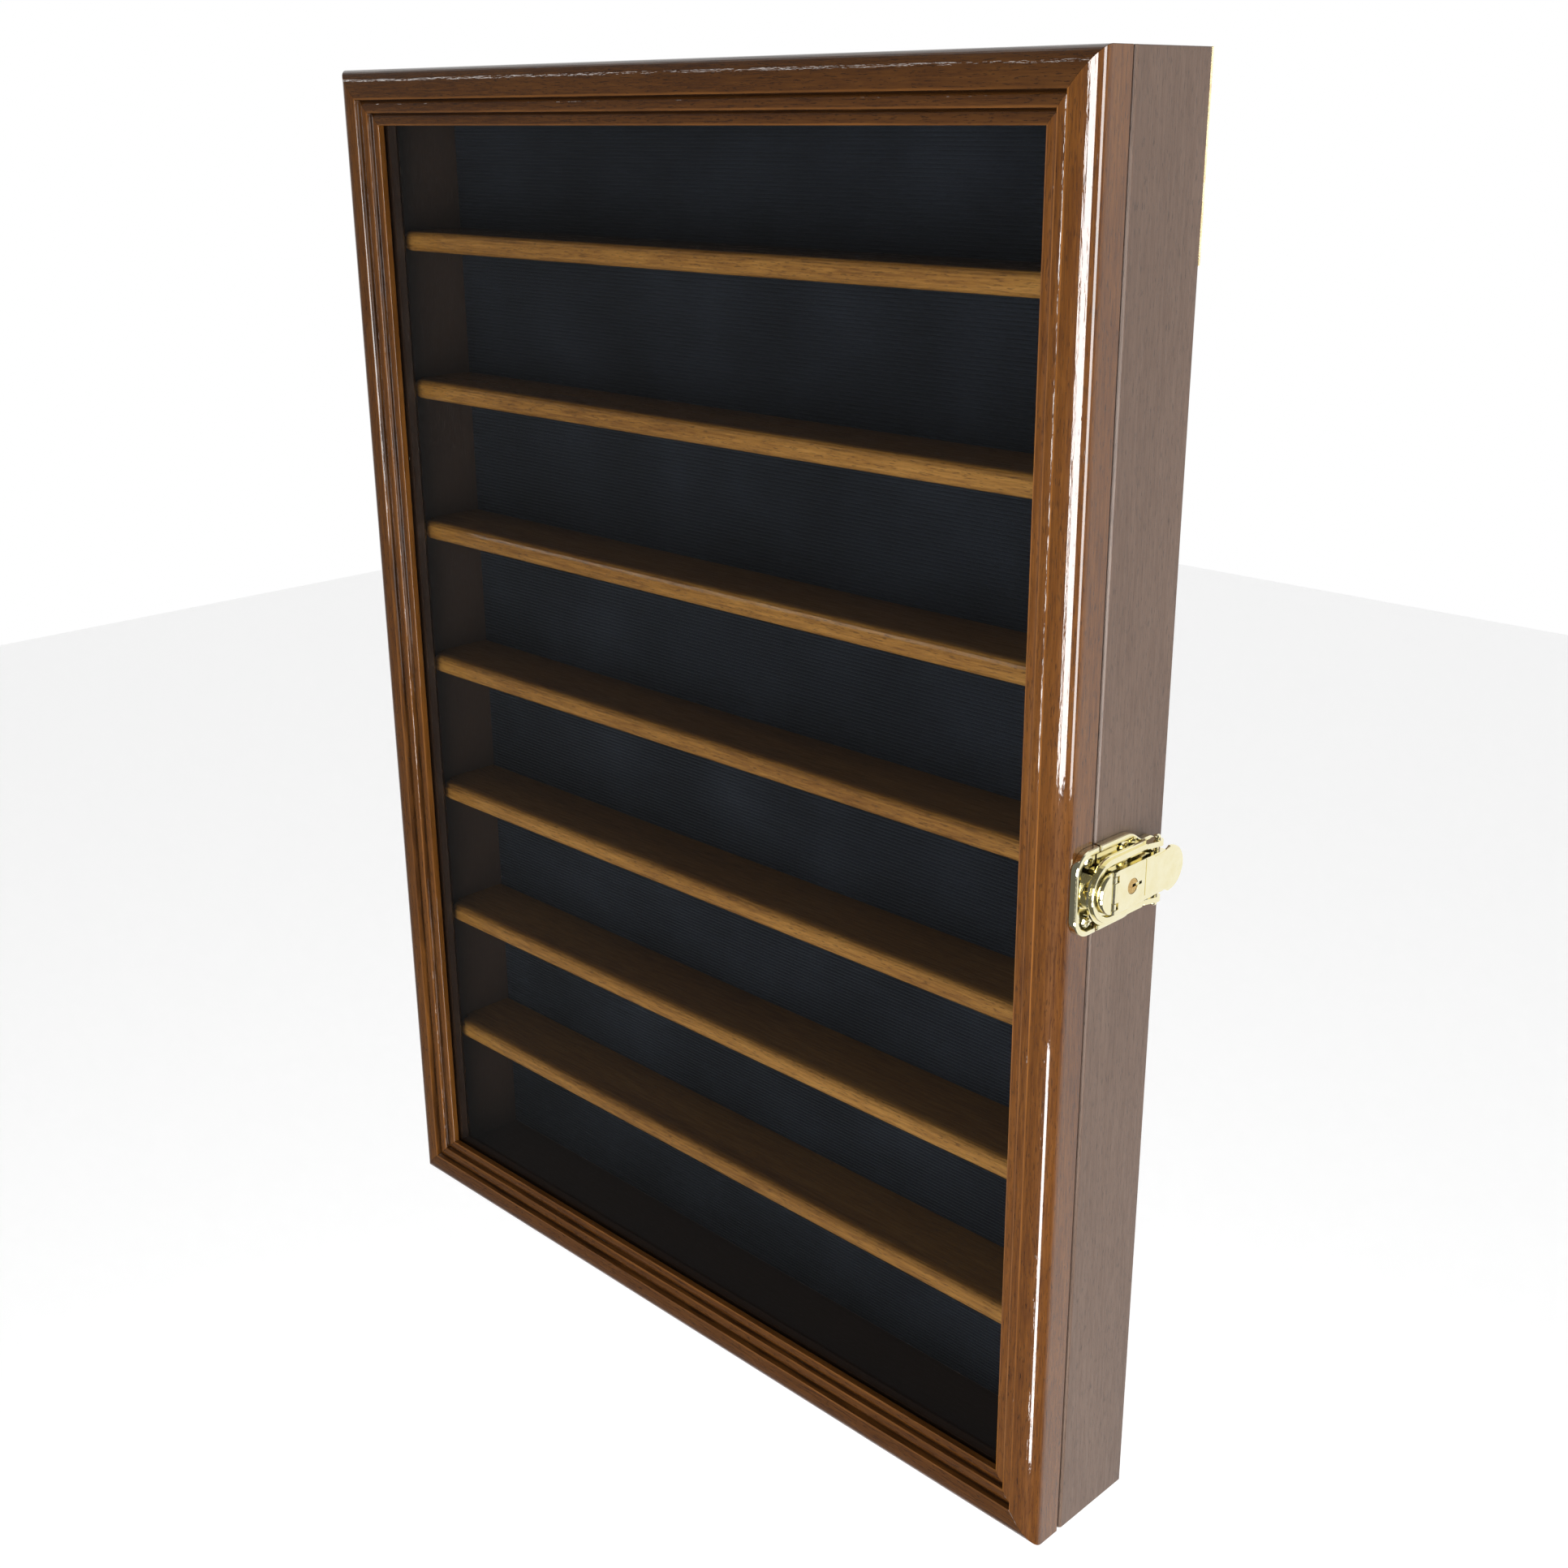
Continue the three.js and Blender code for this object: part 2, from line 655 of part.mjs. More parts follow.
// Dished plate on the door with the lip that the bail closes over
function latchStrike() {
  const dish = slab(strikeOutline(RIM_WIDTH, STRIKE_RIGHT + 5), PLATE_FLOOR, 9);
  const lipOutline = new THREE.Shape();
  lipOutline.absarc(21, 0, 10.2, 0.75 * Math.PI, 1.25 * Math.PI);
  lipOutline.absarc(21, 0, 8.7, 1.25 * Math.PI, 0.75 * Math.PI, true);
  const holes = [1, -1].map((side) => rod(1.5, [-2, 9], 'z', 10)
    .translate(STRIKE_SCREW_X, side * LATCH_SCREW_Y, 0));
  const plate = cut(stamped(strikeOutline(0, STRIKE_RIGHT), 0, RIM_HEIGHT, 0.8), [dish, ...holes]);
  const lip = stamped(lipOutline, PLATE_FLOOR / 2, 5.1, 0.5, 8);
  return join([plate, lip]);
}

function baseOutline(inset, left) {
  const half = PLATE_HALF - inset;
  const neck = BASE_NECK - inset;
  const right = BASE_RIGHT - inset;
  const outline = new THREE.Shape();
  outline.moveTo(left, -half);
  outline.lineTo(36, -half);
  outline.bezierCurveTo(43, -half, 44, -neck, 49, -neck);
  outline.lineTo(right - 3, -neck);
  outline.quadraticCurveTo(right, -neck, right, 3 - neck);
  outline.lineTo(right, neck - 3);
  outline.quadraticCurveTo(right, neck, right - 3, neck);
  outline.lineTo(49, neck);
  outline.bezierCurveTo(44, neck, 43, half, 36, half);
  outline.lineTo(left, half);
  return outline;
}

// Bearing ear for the lever's pin: a leaning post with a round head
function baseEar() {
  const outline = new THREE.Shape();
  outline.moveTo(19.7, 0.5);
  outline.lineTo(23.6, 0.5);
  outline.lineTo(22, 5.5);
  outline.lineTo(LEVER_AXIS.x + LEVER_BARREL, LEVER_AXIS.z);
  outline.absarc(LEVER_AXIS.x, LEVER_AXIS.z, LEVER_BARREL, 0, Math.PI);
  outline.lineTo(LEVER_AXIS.x - LEVER_BARREL, 7);
  outline.lineTo(19.7, 5.2);
  return outline;
}

function latchBase() {
  const plate = stamped(baseOutline(0, BASE_LEFT), 0, RIM_HEIGHT, 0.8, 8);
  const dish = slab(baseOutline(RIM_WIDTH, BASE_LEFT - 5), PLATE_FLOOR, 9, 8);
  const screws = [1, -1].map((side) => rod(1.5, [-2, 9], 'z', 10)
    .translate(BASE_SCREW_X, side * LATCH_SCREW_Y, 0));
  const ears = [[-6.8, -4.4], [4.4, 6.8]].map((span) => upright(baseEar(), span, 6));
  const catchPost = block([LOCK_X - 2, LOCK_X + 2], [6.3, 7.3], [0.5, 6]);
  const catchLip = block([LOCK_X - 2, LOCK_X + 2], [4.9, 6.8], [5, 6]);
  const whole = join([cut(plate, [dish, ...screws]), ...ears, catchPost, catchLip]);
  return cut(whole, [leverBore()]);
}

function leverBore() {
  return rod(LEVER_BORE, [-20, 20], 'y', 12).translate(LEVER_AXIS.x, 0, LEVER_AXIS.z);
}

// Fixed round nose between the bail's arms, on a foot that reaches back to the base
function latchNose() {
  const outline = new THREE.Shape();
  outline.absarc(NOSE_CENTRE, 0, NOSE_RADIUS, 0, 2 * Math.PI);
  const disc = stamped(outline, NOSE_BOTTOM, NOSE_TOP, 1, 36);
  const behind = block([NOSE_RIGHT, NOSE_RIGHT + 20], [-20, 20], [0, 20]);
  const chamfer = upright(polygon([
    [NOSE_RIGHT - 1, NOSE_TOP + 0.1], [NOSE_RIGHT + 0.1, NOSE_TOP - 1], [NOSE_RIGHT + 0.1, NOSE_TOP + 1],
  ]), [-20, 20]);
  const cap = cut(disc, [behind, chamfer]);
  const foot = upright(polygon([
    [13.5, NOSE_BOTTOM + 0.2], [18.3, 5.6], [19.8, 5], [19.8, PLATE_FLOOR + 0.3],
    [21.8, PLATE_FLOOR + 0.3], [21.8, 7.4], [13.5, 7.4],
  ]), [-3.4, 3.4]);
  return join([cap, foot]);
}

function leverPlan() {
  const centre = TAB_TIP - TAB_RADIUS;
  const shoulder = 50;
  const outline = new THREE.Shape();
  outline.moveTo(LEVER_AXIS.x, -LEVER_HALF);
  outline.lineTo(FOLD_X + 6, -LEVER_HALF);
  outline.lineTo(FOLD_X + 6, -TAB_NECK);
  outline.lineTo(shoulder, -TAB_NECK);
  outline.quadraticCurveTo(shoulder + 3, -TAB_NECK, centre, -TAB_RADIUS);
  outline.absarc(centre, 0, TAB_RADIUS, -Math.PI / 2, Math.PI / 2);
  outline.quadraticCurveTo(shoulder + 3, TAB_NECK, shoulder, TAB_NECK);
  outline.lineTo(FOLD_X + 6, TAB_NECK);
  outline.lineTo(FOLD_X + 6, LEVER_HALF);
  outline.lineTo(LEVER_AXIS.x, LEVER_HALF);
  return outline;
}

// A folded-down side of the lever, ending in the ear that carries the bail's pin
function cheekOutline() {
  const under = LEVER_TOP - LEVER_SKIN / 2;
  const ear = 2.3;
  const outline = new THREE.Shape();
  outline.moveTo(LEVER_AXIS.x, under);
  outline.lineTo(LEVER_AXIS.x, CHEEK_FOOT);
  outline.lineTo(44, CHEEK_FOOT);
  outline.lineTo(45.4, 8);
  outline.lineTo(BAIL_AXIS.x - ear, 8);
  outline.lineTo(BAIL_AXIS.x - ear, BAIL_AXIS.z);
  outline.absarc(BAIL_AXIS.x, BAIL_AXIS.z, ear, Math.PI, 2 * Math.PI);
  outline.lineTo(BAIL_AXIS.x + ear, under);
  return outline;
}

function latchLever() {
  const under = LEVER_TOP - LEVER_SKIN;
  const skin = stamped(leverPlan(), under, LEVER_TOP, 0.5, 10);
  const inner = LEVER_HALF - CHEEK;
  const cheeks = [[-LEVER_HALF, -inner], [inner, LEVER_HALF]]
    .map((span) => upright(cheekOutline(), span, 8));
  const [slotNear, slotFar] = EAR_SLOT;
  const knuckles = [[-LEVER_HALF, -slotFar], [-slotNear, slotNear], [slotFar, LEVER_HALF]]
    .map((span) => rod(LEVER_BARREL, span, 'y', 16).translate(LEVER_AXIS.x, 0, LEVER_AXIS.z));
  const notches = [[-slotFar, -slotNear], EAR_SLOT]
    .map((span) => block([LEVER_AXIS.x - 3, LEVER_AXIS.x + 1.8], span, [4, 12]));
  const fold = block([FOLD_X - 0.25, FOLD_X + 0.25], [-6.5, LEVER_HALF + 1], [LEVER_TOP - 0.3, 12]);
  const discHole = rod(LOCK_DISC + 0.25, [4, 12], 'z', 24).translate(LOCK_X, 0, 0);
  const keySlot = block([LOCK_X, LOCK_X + 6], [-KEY_SLOT / 2, KEY_SLOT / 2], [4, 12]);
  const bailBore = rod(BAIL_BORE, [-20, 20], 'y', 12).translate(BAIL_AXIS.x, 0, BAIL_AXIS.z);
  const shell = cut(join([skin, ...cheeks]), notches);
  const tools = [fold, discHole, keySlot, bailBore, leverBore()];
  return cut(join([shell, ...knuckles]), tools);
}

function bailOutline(outer, inner, right) {
  const outline = new THREE.Shape();
  outline.moveTo(right, outer);
  outline.lineTo(BAIL_CENTRE, outer);
  outline.absarc(BAIL_CENTRE, 0, outer, Math.PI / 2, 1.5 * Math.PI);
  outline.lineTo(right, -outer);
  outline.lineTo(right, -inner);
  outline.lineTo(BAIL_CENTRE, -inner);
  outline.absarc(BAIL_CENTRE, 0, inner, 1.5 * Math.PI, Math.PI / 2, true);
  outline.lineTo(right, inner);
  return outline;
}

function bailEye() {
  const eye = 2.6;
  const outline = new THREE.Shape();
  outline.moveTo(43.5, BAIL_TOP);
  outline.lineTo(43.5, BAIL_BOTTOM);
  outline.lineTo(47, BAIL_BOTTOM - 0.6);
  outline.absarc(BAIL_AXIS.x, BAIL_AXIS.z, eye, 1.3 * Math.PI, 2.6 * Math.PI);
  return outline;
}

// Stepped, round-ended loop with an eye at the end of each arm
function latchBail() {
  const flange = slab(bailOutline(BAIL_OUTER, BAIL_INNER, 44), BAIL_BOTTOM, BAIL_BOTTOM + 1, 14);
  const crown = stamped(
    bailOutline(BAIL_OUTER - BAIL_STEP, BAIL_INNER, 46),
    BAIL_BOTTOM + 0.8,
    BAIL_TOP,
    0.5,
    14,
  );
  const inner = BAIL_INNER + 0.1;
  const outer = BAIL_OUTER - BAIL_STEP;
  const eyes = [[-outer, -inner], [inner, outer]].map((span) => upright(bailEye(), span, 10));
  const bore = rod(BAIL_BORE, [-20, 20], 'y', 12).translate(BAIL_AXIS.x, 0, BAIL_AXIS.z);
  return cut(join([flange, crown, ...eyes]), [bore]);
}

function bailPin() {
  const shaft = rod(BAIL_PIN, [-13.4, 13.4], 'y', 12);
  const heads = [1, -1].map((side) => {
    const knob = new THREE.SphereGeometry(1.5, 12, 8).scale(1, 0.6, 1);
    return knob.translate(0, side * 14.2, 0);
  });
  return join([shaft, ...heads]);
}

function lockPlug() {
  const disc = rod(LOCK_DISC, [9.1, 10.45], 'z', 24);
  const shaft = rod(LOCK_SHAFT, [4.8, 9.3], 'z', 20);
  const slot = block([0, 4], [-KEY_SLOT / 2, KEY_SLOT / 2], [8.3, 12]);
  return cut(join([disc, shaft]), [slot]);
}

function lockCase() {
  return cut(rod(4.3, [5.2, 9.1], 'z', 24), [rod(2.85, [4, 12], 'z', 24)]);
}

function lockCam() {
  const tongue = block([0, CAM_REACH], [-1.4, 1.4], [3.4, 4.6]);
  return join([rod(2.4, [3.4, 4.6], 'z', 16), tongue]);
}

function latchScrew(name, x, side, group) {
  const screw = place(name, panScrew(), brass, group);
  screw.position.set(x, side * LATCH_SCREW_Y, PLATE_FLOOR + 1.5);
}

function buildLatch(root) {
  const group = new THREE.Group();
  group.quaternion.setFromRotationMatrix(DEPTH_AND_HEIGHT);
  group.position.set(WIDTH / 2 + LATCH_SEAT, FRONT, CASE_MIDDLE + LATCH_Z);
  root.add(group);

  place('latch_base', latchBase(), brass, group);
  place('latch_nose', latchNose(), brass, group);
  place('latch_strike', latchStrike(), brass, group);
  place('latch_lever', latchLever(), brass, group);
  const leverPin = rod(LEVER_PIN, [-LEVER_HALF + 0.1, LEVER_HALF - 0.1], 'y', 12);
  place('lever_pin', leverPin, brass, group).position.set(LEVER_AXIS.x, 0, LEVER_AXIS.z);
  place('latch_bail', latchBail(), brass, group);
  place('bail_pin', bailPin(), brass, group).position.set(BAIL_AXIS.x, 0, BAIL_AXIS.z);
  place('lock_case', lockCase(), steel, group).position.x = LOCK_X;
  place('lock_plug', lockPlug(), brass, group).position.x = LOCK_X;
  place('lock_cam', lockCam(), steel, group).position.x = LOCK_X;
  for (const [level, side] of [['upper', 1], ['lower', -1]]) {
    latchScrew(`latch_base_screw_${level}`, BASE_SCREW_X, side, group);
    latchScrew(`latch_strike_screw_${level}`, STRIKE_SCREW_X, side, group);
  }
}

const displayCase = new THREE.Group();
buildCase(displayCase);
buildDoor(displayCase);
buildHinge('upper', HINGE_Z, displayCase);
buildHinge('lower', -HINGE_Z, displayCase);
buildLatch(displayCase);

export default displayCase;
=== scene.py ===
"""Looks of the wall display case: materials, ribbed lining, camera, lights and floor."""
import json
import math

import bpy
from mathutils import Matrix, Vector


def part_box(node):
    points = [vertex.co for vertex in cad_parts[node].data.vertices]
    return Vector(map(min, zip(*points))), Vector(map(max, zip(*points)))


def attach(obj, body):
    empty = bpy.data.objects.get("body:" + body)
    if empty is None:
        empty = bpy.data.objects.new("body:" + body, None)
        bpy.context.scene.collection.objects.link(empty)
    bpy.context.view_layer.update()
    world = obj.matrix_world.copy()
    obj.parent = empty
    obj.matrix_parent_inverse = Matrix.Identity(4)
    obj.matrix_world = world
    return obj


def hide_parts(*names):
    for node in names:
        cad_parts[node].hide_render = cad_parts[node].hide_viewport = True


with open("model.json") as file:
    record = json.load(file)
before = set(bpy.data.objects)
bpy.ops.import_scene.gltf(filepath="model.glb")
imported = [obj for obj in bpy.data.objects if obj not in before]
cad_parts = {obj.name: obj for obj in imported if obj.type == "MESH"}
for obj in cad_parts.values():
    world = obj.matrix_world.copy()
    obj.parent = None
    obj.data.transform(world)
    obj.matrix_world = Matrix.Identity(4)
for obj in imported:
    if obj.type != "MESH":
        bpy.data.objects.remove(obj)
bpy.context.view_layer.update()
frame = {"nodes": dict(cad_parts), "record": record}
nodes = frame["nodes"]


# ---------------------------------------------------------------- the case's own measures, in metres
case_low, case_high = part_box("case_right_side")
HALF_WIDTH = case_high.x
MIDDLE_Z = (case_low.z + case_high.z) / 2
HALF_HEIGHT = (case_high.z - case_low.z) / 2
SHELF_FRONT_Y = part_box("shelf_1")[0].y
CASE_FRONT_Y = case_low.y
INSIDE_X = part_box("case_right_side")[0].x
INSIDE_HALF_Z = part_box("case_top")[0].z - MIDDLE_Z
LOCK_FACE_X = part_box("lock_plug")[1].x
MM = 0.001


# ---------------------------------------------------------------- node helpers
MIX_A, MIX_B, MIX_COLOUR = 6, 7, 2      # a Mix node's colour sockets, by number


class Graph:
    """One material's node tree, with short calls for the nodes that are used here."""

    def __init__(self, name):
        self.material = bpy.data.materials.new(name)
        self.material.use_nodes = True
        self.tree = self.material.node_tree
        self.tree.nodes.clear()
        self.output = self.add("ShaderNodeOutputMaterial")
        self.coords = self.add("ShaderNodeTexCoord").outputs["Object"]

    def add(self, kind, **settings):
        made = self.tree.nodes.new(kind)
        for key, value in settings.items():
            setattr(made, key, value)
        return made

    def put(self, socket, value):
        """Links an output to a socket, or sets the socket to a plain value."""
        if isinstance(value, bpy.types.NodeSocket):
            self.tree.links.new(value, socket)
        elif hasattr(value, "__len__") and len(value) == 3 and socket.type == "RGBA":
            socket.default_value = (*value, 1)
        else:
            socket.default_value = value

    def stretch(self, scale, offset=(0, 0, 0), turn=(0, 0, 0)):
        made = self.add("ShaderNodeMapping")
        self.put(made.inputs["Vector"], self.coords)
        made.inputs["Scale"].default_value = scale
        made.inputs["Location"].default_value = offset
        made.inputs["Rotation"].default_value = turn
        return made.outputs["Vector"]

    def noise(self, vector, scale, detail=3, roughness=0.55, distortion=0):
        made = self.add("ShaderNodeTexNoise")
        self.put(made.inputs["Vector"], vector)
        made.inputs["Scale"].default_value = scale
        made.inputs["Detail"].default_value = detail
        made.inputs["Roughness"].default_value = roughness
        made.inputs["Distortion"].default_value = distortion
        return made.outputs["Fac"]

    def math(self, operation, a, b=0.0):
        made = self.add("ShaderNodeMath", operation=operation)
        self.put(made.inputs[0], a)
        self.put(made.inputs[1], b)
        return made.outputs[0]

    def span(self, value, low, high, to_low=0.0, to_high=1.0):
        made = self.add("ShaderNodeMapRange", clamp=True)
        self.put(made.inputs["Value"], value)
        made.inputs["From Min"].default_value = low
        made.inputs["From Max"].default_value = high
        made.inputs["To Min"].default_value = to_low
        made.inputs["To Max"].default_value = to_high
        return made.outputs["Result"]

    def ramp(self, value, stops):
        made = self.add("ShaderNodeValToRGB")
        self.put(made.inputs["Fac"], value)
        elements = made.color_ramp.elements
        while len(elements) < len(stops):
            elements.new(0.5)
        for element, (position, colour) in zip(elements, stops):
            element.position = position
            element.color = (*colour, 1)
        return made.outputs["Color"]

    def mix(self, factor, a, b):
        made = self.add("ShaderNodeMix", data_type="RGBA")
        self.put(made.inputs["Factor"], factor)
        self.put(made.inputs[MIX_A], a)
        self.put(made.inputs[MIX_B], b)
        return made.outputs[MIX_COLOUR]

    def bump(self, height, distance, strength):
        made = self.add("ShaderNodeBump")
        self.put(made.inputs["Height"], height)
        made.inputs["Distance"].default_value = distance
        made.inputs["Strength"].default_value = strength
        return made.outputs["Normal"]

    def axes(self):
        made = self.add("ShaderNodeSeparateXYZ")
        self.put(made.inputs[0], self.coords)
        return made.outputs

    def principled(self, **values):
        made = self.add("ShaderNodeBsdfPrincipled")
        for key, value in values.items():
            self.put(made.inputs[key.replace("_", " ")], value)
        self.tree.links.new(made.outputs[0], self.output.inputs["Surface"])
        return self.material


def grey(value):
    return (value, value, value)


def along(axis, stretched):
    """Mapping scale that draws a pattern out along the grain by this many times."""
    return tuple(1 / stretched if name == axis else 1 for name in "XYZ")


# ---------------------------------------------------------------- stained wood
def stained_colour(g, axis, dark, middle, light, offset):
    """Grain of a stained close-grained hardwood: soft bands, fine fibres and short dark pores."""
    bands = g.noise(g.stretch(along(axis, 7), offset), 42, 3, 0.5, 0.6)
    fibres = g.noise(g.stretch(along(axis, 16), offset), 1000, 5, 0.65)
    pores = g.noise(g.stretch(along(axis, 8), offset), 1900, 2, 0.5)
    tone = g.math("ADD", g.math("MULTIPLY", bands, 0.35), g.math("MULTIPLY", fibres, 0.65))
    colour = g.ramp(tone, [(0.34, dark), (0.5, middle), (0.66, light)])
    flecks = g.span(pores, 0.58, 0.66)
    colour = g.mix(g.math("MULTIPLY", flecks, 0.6), colour, tuple(0.4 * c for c in dark))
    return colour, fibres, flecks


def lacquered(g, colour, axis, fibres, flecks, gloss, offset, dents=1.0):
    """A lacquer film over the wood: it follows the grain a little, so highlights break up along it."""
    film = g.noise(g.stretch(along(axis, 9), offset), 650, 3, 0.6)
    waves = g.noise(g.stretch(along(axis, 5), offset), 90, 2, 0.5)
    height = g.math("ADD", g.math("MULTIPLY", film, 0.35), waves)
    surface = g.bump(g.math("SUBTRACT", fibres, g.math("MULTIPLY", flecks, 0.6)), 0.00012, 0.6)
    coat = g.bump(height, 0.0003 * dents, 0.5)
    return g.principled(
        Base_Color=colour,
        Roughness=g.span(fibres, 0.3, 0.7, gloss["wood"] + 0.1, gloss["wood"] - 0.06),
        Normal=surface,
        Coat_Weight=gloss["coat"],
        Coat_Roughness=gloss["film"],
        Coat_IOR=gloss["index"],
        Coat_Normal=coat,
        Specular_IOR_Level=gloss["specular"],
    )


GROOVES = (13.9, 19.9)        # where the moulding steps down, in mm from the door's outer edge
ARRISES = (13.4, 19.4, 25.2)  # the raised edges beside them and at the pane
MOULDING_STAIN = ((0.062, 0.0185, 0.002), (0.106, 0.036, 0.0045), (0.145, 0.054, 0.009))


def moulding(name, axis, tone, offset):
    """Walnut-stained moulding, its tone per member being painted light; painted shade in the grooves, partly
    stain gathered there, and painted highlight lines on the arrises, partly rubbed wear.
    """
    g = Graph(name)
    # tone scales the stain for each member: painted light and shade, standing in for how brightly that
    # member is lit
    shades = [tuple(c * tone for c in shade) for shade in MOULDING_STAIN]
    colour, fibres, flecks = stained_colour(g, axis, *shades, offset)
    x, _, z = g.axes()
    from_side = g.math("SUBTRACT", HALF_WIDTH, g.math("ABSOLUTE", x))
    from_end = g.math("SUBTRACT", HALF_HEIGHT, g.math("ABSOLUTE", g.math("SUBTRACT", z, MIDDLE_Z)))
    inward = g.math("MULTIPLY", g.math("MINIMUM", from_side, from_end), 1 / MM)
    uneven = g.noise(g.stretch(along(axis, 10), offset), 300, 2)
    wobble = g.math("MULTIPLY", g.math("SUBTRACT", uneven, 0.5), 0.7)
    inward = g.math("ADD", inward, wobble)
    highlight_wear_noise = g.noise(g.stretch(along(axis, 12), offset), 160, 3, 0.6)
    # painted highlight lines: the stain lightened along each arris, partly rubbed wear
    for at in ARRISES:
        close = g.math("ABSOLUTE", g.math("SUBTRACT", inward, at))
        amount = g.math("MULTIPLY", g.span(close, 0.25, 0.75, 1, 0), g.span(highlight_wear_noise, 0.35, 0.65, 0.15, 0.8))
        colour = g.mix(amount, colour, tuple(c * 1.9 for c in shades[2]))
    # painted shade: the stain darkened just inside each groove, partly stain gathered there
    for at in GROOVES:
        past = g.math("SUBTRACT", inward, at)
        amount = g.math("MULTIPLY", g.span(past, -0.25, 0.05), g.span(past, 0.5, 1.9, 1, 0))
        colour = g.mix(g.math("MULTIPLY", amount, 0.85), colour, tuple(c * 0.3 for c in shades[0]))
    gloss = {"wood": 0.45, "coat": 1.0, "film": 0.03, "specular": 0.05, "index": 1.6}
    return lacquered(g, colour, axis, fibres, flecks, gloss, offset)


def board(name, axis, offset):
    """Case boards: walnut stain under satin film, with painted shade on the inner faces and a painted
    highlight along the front edges.
    """
    g = Graph(name)
    colour, fibres, flecks = stained_colour(
        g, axis, (0.072, 0.04, 0.025), (0.088, 0.051, 0.033), (0.105, 0.063, 0.042), offset
    )
    x, y, z = g.axes()
    out_x = g.math("SUBTRACT", g.math("ABSOLUTE", x), INSIDE_X)
    out_z = g.math("SUBTRACT", g.math("ABSOLUTE", g.math("SUBTRACT", z, MIDDLE_Z)), INSIDE_HALF_Z)
    # painted shade: the case's inner faces darkened nearly to black
    inner_face_shade = g.math("LESS_THAN", g.math("MAXIMUM", out_x, out_z), 0.3 * MM)
    colour = g.mix(g.math("MULTIPLY", inner_face_shade, 0.92), colour, (0.012, 0.0055, 0.003))
    # painted highlight: the front edges lightened in a thin line, broken up by noise
    from_front = g.math("SUBTRACT", y, CASE_FRONT_Y)
    from_face = g.math("SUBTRACT", HALF_WIDTH, g.math("ABSOLUTE", x))
    edge = g.math("MULTIPLY", g.math("MAXIMUM", from_front, from_face), 1 / MM)
    highlight_wear_noise = g.noise(g.stretch(along(axis, 12), offset), 200, 3, 0.6)
    painted_edge_highlight = g.math("MULTIPLY", g.span(edge, 0.5, 0.9, 1, 0), g.span(highlight_wear_noise, 0.35, 0.65, 0.1, 0.75))
    colour = g.mix(painted_edge_highlight, colour, (0.19, 0.13, 0.095))
    gloss = {"wood": 0.42, "coat": 0.3, "film": 0.3, "specular": 0.35, "index": 1.5}
    return lacquered(g, colour, axis, fibres, flecks, gloss, offset, 0.5)


def shelf_board(name):
    """Shelves: golden brown on the rounded nose, with painted shade on the flats behind it, where the light
    is low.
    """
    g = Graph(name)
    colour, fibres, flecks = stained_colour(
        g, "X", (0.085, 0.034, 0.006), (0.16, 0.072, 0.014), (0.225, 0.112, 0.026), (0.3, 0.1, 0.7)
    )
    _, y, _ = g.axes()
    behind = g.math("MULTIPLY", g.math("SUBTRACT", y, SHELF_FRONT_Y), 1 / MM)
    # painted shade: the flats behind the nose darkened
    colour = g.mix(g.span(behind, 2.5, 7, 0, 0.6), colour, (0.02, 0.009, 0.004))
    gloss = {"wood": 0.4, "coat": 0.7, "film": 0.12, "specular": 0.1, "index": 1.5}
    return lacquered(g, colour, "X", fibres, flecks, gloss, (0.3, 0.1, 0.7), 0.8)


# ---------------------------------------------------------------- the other finishes
def hardboard():
    g = Graph("hardboard_brown")
    fibre = g.noise(g.coords, 900, 6, 0.7, 0.8)
    blotch = g.noise(g.coords, 30, 3)
    tone = g.math("ADD", g.math("MULTIPLY", fibre, 0.7), g.math("MULTIPLY", blotch, 0.3))
    dark, middle, light = (0.12, 0.068, 0.036), (0.2, 0.12, 0.066), (0.3, 0.19, 0.11)
    colour = g.ramp(tone, [(0.35, dark), (0.5, middle), (0.66, light)])
    return g.principled(
        Base_Color=colour,
        Roughness=g.span(fibre, 0.3, 0.7, 0.9, 0.68),
        Normal=g.bump(fibre, 0.0003, 0.6),
    )


def plywood():
    g = Graph("plywood_raw")
    bands = g.noise(g.stretch(along("X", 8)), 70, 4, 0.6, 0.4)
    fibres = g.noise(g.stretch(along("X", 25)), 1300, 4, 0.6)
    tone = g.math("ADD", g.math("MULTIPLY", bands, 0.55), g.math("MULTIPLY", fibres, 0.45))
    colour = g.ramp(tone, [(0.36, (0.5, 0.36, 0.17)), (0.5, (0.72, 0.57, 0.31)), (0.64, (0.84, 0.72, 0.45))])
    return g.principled(
        Base_Color=colour,
        Roughness=g.span(fibres, 0.3, 0.7, 0.82, 0.62),
        Normal=g.bump(fibres, 0.0002, 0.5),
    )


def brass(name, dull, middle, bright):
    """Polished plate: faint tarnish clouds, fine rubbing marks and a clear lacquer."""
    g = Graph(name)
    tarnish = g.noise(g.coords, 160, 4, 0.6)
    scratches = g.noise(g.stretch((1, 6, 1), (0, 0, 0), (0.5, 0, 0)), 1800, 3, 0.6)
    pits = g.noise(g.coords, 700, 2)
    colour = g.ramp(tarnish, [(0.3, dull), (0.5, middle), (0.7, bright)])
    return g.principled(
        Base_Color=colour,
        Metallic=1.0,
        Roughness=g.span(scratches, 0.3, 0.7, 0.06, 0.13),
        Normal=g.bump(g.math("ADD", pits, g.math("MULTIPLY", scratches, 0.3)), 0.00001, 0.4),
        Coat_Weight=0.5,
        Coat_Roughness=0.08,
    )


